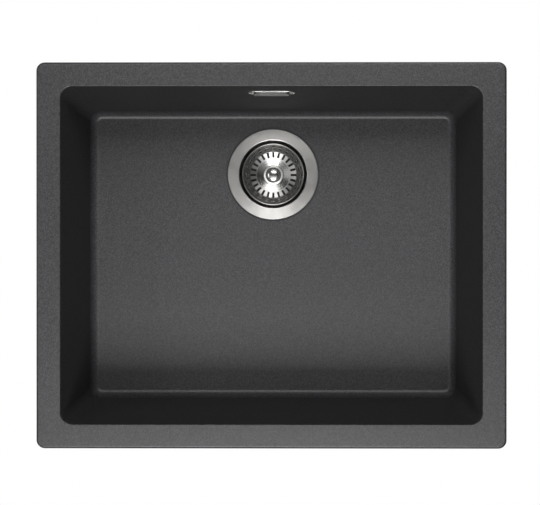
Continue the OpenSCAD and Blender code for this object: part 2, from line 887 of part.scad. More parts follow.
module hose_nut_lower() {
    color(moulding)
        translate([0, body_inlet_y - collar_len, body_inlet_z])
            rotate([-90, 0, 0])
                hose_nut();
}

module clip_inserts() {
    color(brass)
        for (k = [0:len(clip_places) - 1])
            at_clip(k)
                ring(insert_r, insert_bore_r, -boss_len, -boss_len + insert_len);
}

// Clip arm, folded beside the wall: a flat strap with a stepped end and two teeth
module clip_arm(k) {
    eye_r = arm_w / 2 + 0.3;
    step_y = arm_reach - 8 - arm_t;
    color(steel)
        at_clip(k)
            difference() {
                union() {
                    translate([0, 0, arm_bottom])
                        cylinder(r = eye_r, h = arm_t);
                    translate([-arm_w / 2, 0, arm_bottom])
                        cube([arm_w, step_y + arm_t, arm_t]);
                    translate([-arm_w / 2, step_y, arm_bottom])
                        cube([arm_w, arm_t, arm_rise + arm_t]);
                    translate([-arm_w / 2, step_y, arm_bottom + arm_rise])
                        cube([arm_w, arm_reach - step_y, arm_t]);
                    for (x = [-1, 1])
                        translate([x * (arm_w / 2 - 1.5) - 1.5, arm_reach - 2,
                            arm_bottom + arm_rise + arm_t - 0.5])
                            cube([3, 2, tooth_h + 0.5]);
                }
                translate([0, 0, arm_bottom - cut])
                    cylinder(r = clip_screw_r + fit, h = arm_t + 2 * cut);
            }
}

module clip_screw(k) {
    color(steel)
        at_clip(k)
            difference() {
                union() {
                    translate([0, 0, clip_screw_bottom - clip_head_h])
                        cylinder(r = clip_head_r, h = clip_head_h, $fn = 6);
                    translate([0, 0, clip_screw_bottom - 0.5])
                        cylinder(r = clip_screw_r, h = clip_screw_top - clip_screw_bottom + 0.5);
                }
                translate([-0.7, -clip_head_r - cut, clip_screw_bottom - clip_head_h - cut])
                    cube([1.4, 2 * clip_head_r + 2 * cut, cut + 1.6]);
            }
}

// Washer under the arm and retaining ring over it, which carry the arm up and down
module clip_washer(k) {
    color(steel)
        at_clip(k) {
            ring(5.4, clip_screw_r + slide_fit, clip_screw_bottom + fit,
                clip_screw_bottom + fit + washer_t);
            ring(4.4, clip_screw_r + slide_fit, arm_top + fit, arm_top + fit + ring_t);
        }
}

module clip_arm_1() clip_arm(0);
module clip_arm_2() clip_arm(1);
module clip_arm_3() clip_arm(2);
module clip_arm_4() clip_arm(3);
module clip_arm_5() clip_arm(4);
module clip_arm_6() clip_arm(5);
module clip_screw_1() clip_screw(0);
module clip_screw_2() clip_screw(1);
module clip_screw_3() clip_screw(2);
module clip_screw_4() clip_screw(3);
module clip_screw_5() clip_screw(4);
module clip_screw_6() clip_screw(5);
module clip_washer_1() clip_washer(0);
module clip_washer_2() clip_washer(1);
module clip_washer_3() clip_washer(2);
module clip_washer_4() clip_washer(3);
module clip_washer_5() clip_washer(4);
module clip_washer_6() clip_washer(5);

bowl();
rim_seal();
waste_flange();
flange_gasket();
body_gasket();
waste_body();
waste_screw();
waste_nut();
basket();
basket_knob();
basket_stem();
basket_spacer();
basket_seal();
basket_washer();
basket_clip();
overflow_cover();
overflow_gasket();
overflow_elbow();
overflow_screws();
overflow_hose();
hose_seal_upper();
hose_seal_lower();
hose_nut_upper();
hose_nut_lower();
clip_inserts();
clip_arm_1();
clip_arm_2();
clip_arm_3();
clip_arm_4();
clip_arm_5();
clip_arm_6();
clip_screw_1();
clip_screw_2();
clip_screw_3();
clip_screw_4();
clip_screw_5();
clip_screw_6();
clip_washer_1();
clip_washer_2();
clip_washer_3();
clip_washer_4();
clip_washer_5();
clip_washer_6();
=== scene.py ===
"""Inset kitchen sink, seen from straight above: granular charcoal bowl and rim, steel strainer."""
import math

import bmesh
import bpy
from mathutils import Matrix, Vector
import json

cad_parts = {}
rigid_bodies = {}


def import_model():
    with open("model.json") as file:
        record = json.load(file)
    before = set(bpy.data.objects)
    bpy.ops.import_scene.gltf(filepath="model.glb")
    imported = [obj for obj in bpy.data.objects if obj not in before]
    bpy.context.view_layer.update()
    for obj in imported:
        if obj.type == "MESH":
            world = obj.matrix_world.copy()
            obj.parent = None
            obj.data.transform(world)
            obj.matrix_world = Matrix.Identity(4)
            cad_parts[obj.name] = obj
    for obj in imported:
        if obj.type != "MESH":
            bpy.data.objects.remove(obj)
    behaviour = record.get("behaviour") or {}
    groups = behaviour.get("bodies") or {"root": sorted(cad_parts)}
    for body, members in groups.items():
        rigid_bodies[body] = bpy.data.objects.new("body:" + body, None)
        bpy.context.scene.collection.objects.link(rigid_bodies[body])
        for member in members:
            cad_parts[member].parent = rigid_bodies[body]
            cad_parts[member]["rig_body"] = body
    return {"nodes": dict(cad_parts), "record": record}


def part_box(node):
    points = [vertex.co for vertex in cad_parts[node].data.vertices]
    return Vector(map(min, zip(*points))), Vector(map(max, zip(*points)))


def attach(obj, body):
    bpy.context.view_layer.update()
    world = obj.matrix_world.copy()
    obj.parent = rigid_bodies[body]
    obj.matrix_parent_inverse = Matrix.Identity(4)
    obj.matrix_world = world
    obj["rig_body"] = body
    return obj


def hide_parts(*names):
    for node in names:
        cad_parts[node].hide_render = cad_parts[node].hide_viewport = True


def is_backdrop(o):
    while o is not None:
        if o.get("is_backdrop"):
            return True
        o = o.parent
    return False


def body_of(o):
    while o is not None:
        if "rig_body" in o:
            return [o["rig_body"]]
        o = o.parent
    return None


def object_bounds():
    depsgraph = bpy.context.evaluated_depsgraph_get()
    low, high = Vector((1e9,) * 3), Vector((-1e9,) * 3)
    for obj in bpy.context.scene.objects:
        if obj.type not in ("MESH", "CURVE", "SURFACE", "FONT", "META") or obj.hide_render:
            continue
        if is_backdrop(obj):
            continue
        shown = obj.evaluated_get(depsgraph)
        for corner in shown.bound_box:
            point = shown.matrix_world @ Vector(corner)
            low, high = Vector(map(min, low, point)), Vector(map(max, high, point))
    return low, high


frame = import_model()
cad_low, cad_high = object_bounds()

# The camera hangs 2.84 m above the rim with a long lens, a little to the right of the bowl's
# middle and a little behind it, and looks almost straight down.
bowl_low, bowl_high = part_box("bowl")
rim_top = bowl_high.z
camera_height = 2.842
view_width = 0.6424
camera_place = Vector((0.0326, 0.0190, rim_top + camera_height))
camera_aim = Vector((-0.0015, 0.0035, rim_top))
bpy.ops.object.camera_add(location=camera_place)
camera = bpy.context.object
camera.name = "camera"
forward = (camera_aim - camera_place).normalized()
picture_up = (Vector((0, 1, 0)) - forward * forward.y).normalized()
picture_right = forward.cross(picture_up)
camera.matrix_world = Matrix.Translation(camera_place) @ Matrix(
    (picture_right, picture_up, -forward)
).transposed().to_4x4()
camera.data.sensor_width = 36
camera.data.lens = camera.data.sensor_width * camera_height / view_width
bpy.context.scene.camera = camera
bpy.context.scene.view_settings.view_transform = "Standard"


# A plain pale floor lies just under the waste outlet. The lens and the steel see it as pure
# white paper.
def shader_nodes(name):
    """A new material and a function that adds nodes to it, with the surface shader ready."""
    material = bpy.data.materials.new(name)
    material.use_nodes = True
    tree = material.node_tree
    surface = tree.nodes["Principled BSDF"]

    def add(kind, inputs=None, **settings):
        node = tree.nodes.new(kind)
        for key, value in settings.items():
            setattr(node, key, value)
        for key, value in (inputs or {}).items():
            if isinstance(value, bpy.types.NodeSocket):
                tree.links.new(value, node.inputs[key])
            else:
                node.inputs[key].default_value = value
        return node

    return material, surface, add


floor_drop = 0.012
floor_size = 14
bpy.ops.mesh.primitive_plane_add(size=floor_size, location=(0, 0, cad_low.z - floor_drop))
floor = bpy.context.object
floor.name = "floor"
floor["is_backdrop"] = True
paper, paper_surface, add = shader_nodes("white paper")
paper_surface.inputs["Base Color"].default_value = (0.82, 0.82, 0.82, 1)
paper_surface.inputs["Roughness"].default_value = 0.9
rays = add("ShaderNodeLightPath")
seen = add("ShaderNodeMath", {0: rays.outputs["Is Camera Ray"], 1: rays.outputs["Is Glossy Ray"]},
           operation="MAXIMUM")
white = add("ShaderNodeEmission", {"Color": (1, 1, 1, 1), "Strength": 1.0})
mixed = add("ShaderNodeMixShader", {0: seen.outputs["Value"], 1: paper_surface.outputs[0],
                                    2: white.outputs[0]})
paper.node_tree.links.new(mixed.outputs[0],
                          paper.node_tree.nodes["Material Output"].inputs["Surface"])
floor.data.materials.append(paper)

# Studio light from overhead, so that the bowl's walls stay dark: a bright soft box in front of the
# lens, a weaker one behind it, a faint one on the left and a wide dim card. Four low lights reach
# the outsides of the walls. The room is nearly black, and white to the lens alone.
world = bpy.data.worlds.new("room")
bpy.context.scene.world = world
world.use_nodes = True
room = world.node_tree.nodes["Background"]
room.inputs["Color"].default_value = (1, 1, 1, 1)
room_light = 0.025
eye = world.node_tree.nodes.new("ShaderNodeLightPath")
glow = world.node_tree.nodes.new("ShaderNodeMapRange")
glow.inputs["To Min"].default_value = room_light
glow.inputs["To Max"].default_value = 1.0
world.node_tree.links.new(eye.outputs["Is Camera Ray"], glow.inputs["Value"])
world.node_tree.links.new(glow.outputs["Result"], room.inputs["Strength"])


def soft_box(name, place, aim, width, depth, power):
    """A rectangular lamp at a place, turned to its aim."""
    bpy.ops.object.light_add(type="AREA", location=place)
    lamp = bpy.context.object
    lamp.name = name
    lamp.data.shape = "RECTANGLE"
    lamp.data.size = width
    lamp.data.size_y = depth
    lamp.data.energy = power
    lamp.rotation_euler = (Vector(aim) - Vector(place)).to_track_quat("-Z", "Y").to_euler()


soft_box("front soft box", (-0.02, -1.34, 2.6), (0, -0.2, 0), 1.05, 0.90, 52)
soft_box("rear soft box", (0.14, 1.42, 2.6), (0, 0.2, 0), 1.1, 1.25, 36)
soft_box("left soft box", (-1.75, 0, 2.4), (0, 0, 0), 1.2, 0.9, 11)
soft_box("front card", (0, -0.95, 2.95), (0, -0.6, 0), 2.5, 1.7, 8)
low_light_z = -0.17
low_light_w = 0.9
low_light_h = 0.26
for name, x, y, power in (("low front light", -0.9, -1.5, 9), ("low rear light", 0.6, 1.6, 9),
                          ("low left light", -1.7, 0.5, 5), ("low right light", 1.7, -0.3, 5)):
    soft_box(name, (x, y, low_light_z), (0, 0, low_light_z), low_light_w, low_light_h, power)


# Bowl and rim: one casting of stone grit in charcoal resin, with a flat rim, leaning walls, round
# corners, a filleted floor and a seat for the waste. Below the rim it is rougher, and the rim's
# rounded outer edge is painted darker and less glossy, as painted shade.
def only(piece):
    """Select this piece alone and make it the active one."""
    bpy.ops.object.select_all(action="DESELECT")
    piece.select_set(True)
    bpy.context.view_layer.objects.active = piece


def pick(piece, kind, test):
    """In edit mode, select the faces, edges or points that pass the test, and nothing else."""
    bpy.ops.mesh.select_mode(type=kind)
    bpy.ops.mesh.select_all(action="DESELECT")
    form = bmesh.from_edit_mesh(piece.data)
    for item in {"FACE": form.faces, "EDGE": form.edges, "VERT": form.verts}[kind]:
        if test(item):
            item.select_set(True)
    form.select_flush_mode()
    bmesh.update_edit_mesh(piece.data)


def fix_place(piece):
    """Move a piece's place, turn and size into its mesh."""
    only(piece)
    bpy.ops.object.transform_apply(location=True, rotation=True, scale=True)


def upright_edge(edge, height):
    """An edge that runs up a box of this height."""
    return abs((edge.verts[0].co - edge.verts[1].co).z) > 0.9 * height


def rounded_box(size, middle=(0, 0, 0), corner_r=0.0, steps=3, both_ends=True):
    """A box whose upright corners are rounded, all four or only those at the low Y end."""
    bpy.ops.mesh.primitive_cube_add(size=1, location=middle, scale=size)
    box = bpy.context.object
    fix_place(box)
    if corner_r:
        bpy.ops.object.mode_set(mode="EDIT")
        pick(box, "EDGE", lambda e: upright_edge(e, size[2])
             and (both_ends or e.verts[0].co.y < middle[1]))
        bpy.ops.mesh.bevel(offset=corner_r, segments=steps, affect="EDGES")
        bpy.ops.object.mode_set(mode="OBJECT")
    return box


def cut_with(piece, cutter, operation="DIFFERENCE"):
    """Cut the piece with a second solid, or join them, and remove the second one."""
    only(piece)
    step = piece.modifiers.new(operation.lower(), "BOOLEAN")
    step.operation = operation
    step.solver = "EXACT"
    step.object = cutter
    bpy.ops.object.modifier_apply(modifier=step.name)
    bpy.data.objects.remove(cutter, do_unlink=True)


def join_all(pieces):
    """Join separate solids into one object, without merging them."""
    bpy.ops.object.select_all(action="DESELECT")
    for piece in pieces:
        piece.select_set(True)
    bpy.context.view_layer.objects.active = pieces[0]
    bpy.ops.object.join()
    return bpy.context.object


def smooth(piece, angle=35, weighting="FACE_AREA"):
    """Smooth shading over shallow edges, with large flat faces kept flat."""
    only(piece)
    bpy.ops.object.shade_smooth_by_angle(angle=math.radians(angle))
    step = piece.modifiers.new("even", "WEIGHTED_NORMAL")
    step.mode = weighting
    step.keep_sharp = True
    bpy.ops.object.modifier_apply(modifier=step.name)


def close(value, wanted, slack):
    return abs(value - wanted) < slack


def level_edge(edge, z, slack=0.0004):
    """An edge that lies level at height z."""
    return all(close(point.co.z, z, slack) for point in edge.verts)


def dress(piece, name, body, slot_name, material, *nodes):
    """Name a finished piece, give it its material, and hang it on its body."""
    piece.name = name
    piece.data.name = name
    piece.data.materials.clear()
    piece.data.materials.append(material)
    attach(piece, body)
    if nodes:
        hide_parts(*nodes)


def second_finish(piece, material, test):
    """Give the faces that pass the test one more finish of their own."""
    piece.data.materials.append(material)
    index = len(piece.data.materials) - 1
    for face in piece.data.polygons:
        if test(face):
            face.material_index = index


rim_band = 0.029
rim_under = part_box("rim_seal")[1].z
bowl_depth = 0.200
floor_z = rim_top - bowl_depth
wall_lean = math.radians(5.5)
wall_t = 0.008
mouth_half = (bowl_high.x - rim_band, bowl_high.y - rim_band)
inner_corner_r = 0.0145
rim_corner_r = 0.010
rim_edge_r = 0.0025
mouth_edge_r = 0.002
floor_fillet_r = 0.010
underside_fillet_r = floor_fillet_r + 0.002
steep_tilt = 0.5


def inside_half(z, axis):
    """Half of the bowl's inner width (axis 0) or depth (axis 1) at height z."""
    return mouth_half[axis] - (rim_top - z) * math.tan(wall_lean)


def rim_share(point):
    """How far out a point lies, as a share of the way from the middle to the rim's border."""
    return max(abs(point.x) / bowl_high.x, abs(point.y) / bowl_high.y)


bpy.ops.mesh.primitive_cube_add(
    size=1,
    location=(0, 0, (rim_top + rim_under) / 2),
    scale=(2 * bowl_high.x, 2 * bowl_high.y, rim_top - rim_under),
)
bowl = bpy.context.object
fix_place(bowl)
bpy.ops.object.mode_set(mode="EDIT")
pick(bowl, "FACE", lambda f: f.normal.z > 0.9)
bpy.ops.mesh.inset(thickness=rim_band)
bpy.ops.mesh.extrude_region_move(TRANSFORM_OT_translate={"value": (0, 0, floor_z - rim_top)})
bpy.ops.transform.resize(
    value=(inside_half(floor_z, 0) / mouth_half[0], inside_half(floor_z, 1) / mouth_half[1], 1),
    center_override=(0, 0, floor_z),
)
pick(bowl, "FACE", lambda f: f.normal.z < -0.9)
outer_half = [inside_half(rim_under, axis) + wall_t for axis in (0, 1)]
bpy.ops.mesh.inset(thickness=bowl_high.x - outer_half[0])
bpy.ops.mesh.extrude_region_move(
    TRANSFORM_OT_translate={"value": (0, 0, bowl_low.z - rim_under)})
outer_low = [inside_half(bowl_low.z, axis) + wall_t for axis in (0, 1)]
bpy.ops.transform.resize(
    value=(outer_low[0] / outer_half[0], outer_low[1] / outer_half[1], 1),
    center_override=(0, 0, bowl_low.z),
)


def leaning_edge(edge, top, bottom, slack=0.0004):
    """An edge that runs from one height to another."""
    heights = sorted(point.co.z for point in edge.verts)
    return close(heights[0], bottom, slack) and close(heights[1], top, slack)


corner_edges = (
    (rim_top, rim_under, rim_corner_r, 8),
    (rim_top, floor_z, inner_corner_r, 10),
    (rim_under, bowl_low.z, inner_corner_r + wall_t, 10),
)
for top, bottom, radius, steps in corner_edges:
    pick(bowl, "EDGE", lambda e: leaning_edge(e, top, bottom))
    bpy.ops.mesh.bevel(offset=radius, segments=steps, affect="EDGES")


def sharp_ring(edge, z, shares):
    """A level edge at height z beside a steep face, between two shares of the way to the border."""
    steep = any(abs(face.normal.z) < steep_tilt for face in edge.link_faces)
    middle = (edge.verts[0].co + edge.verts[1].co) / 2
    return level_edge(edge, z) and steep and shares[0] < rim_share(middle) < shares[1]


at_border = (0.96, 1.1)
inside_border = (0.0, 0.96)
rounded_rings = (
    (rim_top, at_border, rim_edge_r, 5),
    (rim_top, inside_border, mouth_edge_r, 4),
    (floor_z, inside_border, floor_fillet_r, 7),
    (bowl_low.z, inside_border, underside_fillet_r, 6),
)
for z, shares, radius, steps in rounded_rings:
    pick(bowl, "EDGE", lambda e: sharp_ring(e, z, shares))
    bpy.ops.mesh.bevel(offset=radius, segments=steps, affect="EDGES")
bpy.ops.object.mode_set(mode="OBJECT")

# the clip bosses, moulded on the walls under the rim, each with a pilot hole for its insert
clip_count = 6
boss_r = 0.007
boss_len = 0.024
boss_in_rim = 0.001
clip_reach = 0.0115
pilot_r = 0.0034
pilot_len = 0.026
pilot_mid = -0.012
axis_slack = 0.00001
bosses = []
pilots = []
for number in range(1, clip_count + 1):
    low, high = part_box(f"clip_screw_{number}")
    middle = (low + high) / 2
    place = Vector((middle.x, middle.y, 0))
    across = abs(middle.x) / bowl_high.x > abs(middle.y) / bowl_high.y
    outward = Vector((middle.x, 0, 0) if across else (0, middle.y, 0)).normalized()
    boss_mid = (rim_under + boss_in_rim - boss_len) / 2
    bpy.ops.mesh.primitive_cylinder_add(
        vertices=40, radius=boss_r, depth=rim_under + boss_in_rim + boss_len,
        location=(place.x, place.y, boss_mid))
    boss = bpy.context.object
    fix_place(boss)
    bpy.ops.object.mode_set(mode="EDIT")
    pick(boss, "VERT", lambda v: (v.co - place).xy.dot(outward.xy) < axis_slack)
    bpy.ops.transform.translate(value=-outward * (clip_reach - boss_r))
    bpy.ops.object.mode_set(mode="OBJECT")
    bosses.append(boss)
    bpy.ops.mesh.primitive_cylinder_add(
        vertices=32, radius=pilot_r, depth=pilot_len, location=(place.x, place.y, pilot_mid))
    pilots.append(bpy.context.object)
cut_with(bowl, join_all(bosses), "UNION")
cut_with(bowl, join_all(pilots))

# the seat and the hole for the waste, and the overflow's opening in the rear wall
waste_y = (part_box("waste_flange")[0].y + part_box("waste_flange")[1].y) / 2
seat_r = 0.0595
seat_depth = 0.003
waste_hole_r = 0.045
waste_hole_cut = 0.015
waste_steps = 144
for radius, drop in ((seat_r, seat_depth), (waste_hole_r, waste_hole_cut)):
    bpy.ops.mesh.primitive_cylinder_add(
        vertices=waste_steps, radius=radius, depth=2 * drop, location=(0, waste_y, floor_z))
    cut_with(bowl, bpy.context.object)
overflow_drop = 0.044
overflow_z = rim_top - overflow_drop
overflow_y = inside_half(overflow_z, 1)
# the overflow's own axes: X to the right, Y down the wall, Z out through it
overflow_frame = Matrix.Translation((0, overflow_y, overflow_z)) @ Matrix.Rotation(
    -math.pi / 2 - wall_lean, 4, "X")
inlet_w = 0.038
inlet_h = 0.010
inlet_end_r = inlet_h / 2 - 0.0001
inlet_cut = 0.030
inlet = rounded_box((inlet_w, inlet_h, inlet_cut), corner_r=inlet_end_r, steps=10)
inlet.matrix_world = overflow_frame
cut_with(bowl, inlet)
smooth(bowl, angle=30)

grain_greys = (0.0118, 0.0246, 0.0490)
grain_tint = (1.0, 0.98, 1.085)
level_rough = 0.36


def granite(name, tilt_rough, tilt_smooth, rough, tone_share=1.0, gloss=0.56):
    """Charcoal resin full of fine grit: pale and dark grains, level faces smoother than steep."""
    material, surface, add = shader_nodes(name)
    place = add("ShaderNodeTexCoord").outputs["Object"]
    grit = add("ShaderNodeTexNoise", {"Vector": place, "Scale": 900.0, "Detail": 3.0,
                                      "Roughness": 0.65})
    grains = add("ShaderNodeTexVoronoi", {"Vector": place, "Scale": 1100.0})
    both = add("ShaderNodeMix", {"Factor": 0.42, "A": grit.outputs["Fac"],
                                 "B": grains.outputs["Color"]}, data_type="FLOAT")
    tone = add("ShaderNodeValToRGB", {"Fac": both.outputs["Result"]})
    ramp = tone.color_ramp
    ramp.elements[0].position = 0.39
    ramp.elements[1].position = 0.62
    middle = ramp.elements.new(0.5)
    for step, grey in zip((ramp.elements[0], middle, ramp.elements[2]), grain_greys):
        step.color = [grey * tint * tone_share for tint in grain_tint] + [1]
    bump = add("ShaderNodeBump", {"Height": grains.outputs["Distance"], "Strength": 0.25,
                                  "Distance": 0.0002})
    links = material.node_tree.links
    links.new(tone.outputs["Color"], surface.inputs["Base Color"])
    links.new(bump.outputs["Normal"], surface.inputs["Normal"])
    upright = add("ShaderNodeSeparateXYZ",
                  {"Vector": add("ShaderNodeNewGeometry").outputs["Normal"]})
    grain = add("ShaderNodeMapRange",
                {"Value": upright.outputs["Z"], "From Min": tilt_rough, "From Max": tilt_smooth,
                 "To Min": rough, "To Max": level_rough})
    links.new(grain.outputs["Result"], surface.inputs["Roughness"])
    surface.inputs["Specular IOR Level"].default_value = gloss
    return material


granite_material = granite(
    "charcoal grit composite", tilt_rough=0.20, tilt_smooth=0.80, rough=0.70)
inside_material = granite(
    "charcoal grit composite below the rim", tilt_rough=0.88, tilt_smooth=0.995, rough=0.72)
# the rim's rounded outer edge: the same grit at 0.45 of its colour and with less gloss, a painted
# shade line along the rim's border
painted_shade_rim_material = granite(
    "rim edge with painted shade", tilt_rough=0.20, tilt_smooth=0.80, rough=0.80, tone_share=0.45, gloss=0.25)
painted_edge_share = 0.99
painted_edge_tilts = (0.05, 0.90)


def painted_shade_edge(face):
    """A face of the rim's rounded outer edge, neither upright nor level, painted darker as shade.
    """
    tilted = painted_edge_tilts[0] < face.normal.z < painted_edge_tilts[1]
    return face.center.z >= rim_under and rim_share(face.center) > painted_edge_share and tilted


dress(bowl, "bowl_moulding", "sink", "composite", granite_material, "bowl")
second_finish(bowl, inside_material, lambda f: f.center.z < rim_under)
second_finish(bowl, painted_shade_rim_material, painted_shade_edge)


# Strainer flange and cup: one pressing of stainless steel. The wide ring is brushed round and
# round, the rolled lip and the cup below it are polished.
merge_gap = 0.000002


def turned(name, outline, steps, middle=(0, 0, 0), closed=True):
    """Draw an outline of (radius, height) points and spin it about an upright axis."""
    points = [Vector((middle[0] + r, middle[1], middle[2] + z)) for r, z in outline]
    bpy.ops.mesh.primitive_plane_add(size=0.001, location=points[0])
    piece = bpy.context.object
    fix_place(piece)
    bpy.ops.object.mode_set(mode="EDIT")
    bpy.ops.mesh.select_mode(type="VERT")
    bpy.ops.mesh.select_all(action="SELECT")
    bpy.ops.mesh.merge(type="CENTER")
    for here, there in zip(points, points[1:]):
        bpy.ops.mesh.extrude_region_move(TRANSFORM_OT_translate={"value": there - here})
    if closed:
        bpy.ops.mesh.select_all(action="SELECT")
        form = bmesh.from_edit_mesh(piece.data)
        form.verts.ensure_lookup_table()
        ends = [v for v in form.verts if len(v.link_edges) == 1]
        bpy.ops.mesh.select_mode(type="VERT")
        bpy.ops.mesh.select_all(action="DESELECT")
        for end in ends:
            end.select_set(True)
        bmesh.update_edit_mesh(piece.data)
        bpy.ops.mesh.edge_face_add()
    bpy.ops.mesh.select_all(action="SELECT")
    bpy.ops.mesh.spin(steps=steps, angle=2 * math.pi, center=middle, axis=(0, 0, 1))
    bpy.ops.mesh.select_all(action="SELECT")
    bpy.ops.mesh.remove_doubles(threshold=merge_gap)
    bpy.ops.mesh.normals_make_consistent(inside=False)
    bpy.ops.object.mode_set(mode="OBJECT")
    piece.name = name
    return piece


def arc(centre, radius, start, end, steps):
    """Points on an arc about (radius, height), from one angle to another in degrees."""
    return [
        (centre[0] + radius * math.cos(math.radians(start + (end - start) * i / steps)),
         centre[1] + radius * math.sin(math.radians(start + (end - start) * i / steps)))
        for i in range(steps + 1)
    ]


def waste_reach(face):
    """How far a face lies from the waste's upright axis."""
    return math.hypot(face.center.x, face.center.y - waste_y)


def steel(name, roughness, colour=(0.62, 0.615, 0.60, 1), turned_marks=0.0, ring_bump=0.0):
    """Stainless steel. Turning marks run round the waste's axis and draw highlights outwards."""
    material, surface, add = shader_nodes(name)
    links = material.node_tree.links
    surface.inputs["Metallic"].default_value = 1.0
    surface.inputs["Base Color"].default_value = colour
    place = add("ShaderNodeTexCoord").outputs["Object"]
    marks = add("ShaderNodeTexNoise", {"Vector": place, "Scale": 140.0, "Detail": 4.0})
    grey = add("ShaderNodeMapRange", {"Value": marks.outputs["Fac"], "From Min": 0.3,
                                      "From Max": 0.7, "To Min": max(0.02, roughness - 0.03),
                                      "To Max": roughness + 0.04})
    links.new(grey.outputs["Result"], surface.inputs["Roughness"])
    if turned_marks:
        centred = add("ShaderNodeVectorMath", {0: place, 1: (0, waste_y, 0)},
                      operation="SUBTRACT")
        apart = add("ShaderNodeSeparateXYZ", {"Vector": centred.outputs["Vector"]})
        outward = add("ShaderNodeCombineXYZ", {"X": apart.outputs["X"], "Y": apart.outputs["Y"]})
        far = add("ShaderNodeVectorMath", {0: outward.outputs["Vector"]}, operation="LENGTH")
        surface.inputs["Anisotropic"].default_value = turned_marks
        links.new(outward.outputs["Vector"], surface.inputs["Tangent"])
        rings = add("ShaderNodeTexNoise", {"W": far.outputs["Value"], "Scale": 2600.0,
                                           "Detail": 3.0}, noise_dimensions="1D")
        bump = add("ShaderNodeBump", {"Height": rings.outputs["Fac"], "Strength": ring_bump,
                                      "Distance": 0.00005})
        links.new(bump.outputs["Normal"], surface.inputs["Normal"])
    return material


flange_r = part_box("waste_flange")[1].x
flange_steel = steel("brushed steel flange", 0.31, (0.475, 0.466, 0.452, 1),
                     turned_marks=0.50, ring_bump=0.05)
polished_steel = steel("polished steel", 0.07)
basket_steel = steel("turned steel basket", 0.32, (0.35, 0.345, 0.335, 1),
                     turned_marks=0.55, ring_bump=0.04)
dish_steel = steel("polished steel dish", 0.24, (0.30, 0.296, 0.288, 1),
                   turned_marks=0.55, ring_bump=0.04)
knob_steel = steel("polished steel knob", 0.17, (0.52, 0.515, 0.50, 1))
# the foot's satin border: rougher than the knob, and paler, the paler colour a painted highlight
# ring
highlight_painted_foot_steel = steel("satin steel foot with painted highlight", 0.42, (0.78, 0.77, 0.75, 1))
# the cover's steel is painted nearly black, as painted shade
dark_painted_cover_steel = steel("satin steel cover with painted shade", 0.42, (0.17, 0.168, 0.163, 1))
sheet_t = 0.001
cup_r = 0.0425
cup_low_r = 0.0415
sump_r = 0.031
cup_depth = 0.054
ring_under = -0.0013
edge_drop = -0.0003
ring_in_r = 0.0441
lip_r = 0.0015
lip_seam_r = ring_in_r - 0.0008
stem_hole_r = 0.0042
cup_hole_count = 8
cup_hole_r = 0.0045
cup_hole_reach = 0.019
flange_outline = (
    [(flange_r, ring_under)]
    + arc((flange_r - 0.0007, edge_drop - 0.0007), 0.0007, 10, 85, 5)
    + [(flange_r - 0.006, edge_drop + 0.0001), (ring_in_r + 0.0012, -0.0001)]
    + arc((ring_in_r + 0.0001, -0.0001 - lip_r), lip_r, 85, 180, 9)
    + [(cup_r, -0.0050), (cup_r - 0.0003, -0.015), (cup_low_r, -0.036)]
    + [(cup_low_r - 0.0006, -0.0378), (sump_r + 0.0006, -0.0425), (sump_r - 0.0002, -0.0440)]
    + [(sump_r - 0.0007, -cup_depth + 0.0015), (sump_r - 0.0022, -cup_depth)]
    + [(stem_hole_r, -cup_depth), (stem_hole_r, -cup_depth - sheet_t)]
    + [(sump_r - 0.0018, -cup_depth - sheet_t), (sump_r + 0.0004, -cup_depth + 0.0011)]
    + [(sump_r + 0.0008, -0.0438), (cup_low_r + sheet_t, -0.0375)]
    + [(cup_r + sheet_t, -0.0045), (ring_in_r, ring_under + 0.0002)]
)
flange = turned("flange", flange_outline, waste_steps, (0, waste_y, floor_z))
cup_holes = []
for i in range(cup_hole_count):
    turn = 2 * math.pi * i / cup_hole_count
    bpy.ops.mesh.primitive_cylinder_add(
        vertices=32, radius=cup_hole_r, depth=4 * sheet_t,
        location=(cup_hole_reach * math.cos(turn), waste_y + cup_hole_reach * math.sin(turn),
                  floor_z - cup_depth - sheet_t / 2))
    cup_holes.append(bpy.context.object)
cut_with(flange, join_all(cup_holes))
smooth(flange)
dress(flange, "strainer_flange", "sink", "brushed", flange_steel, "waste_flange")
second_finish(flange, polished_steel, lambda f: waste_reach(f) < lip_seam_r)

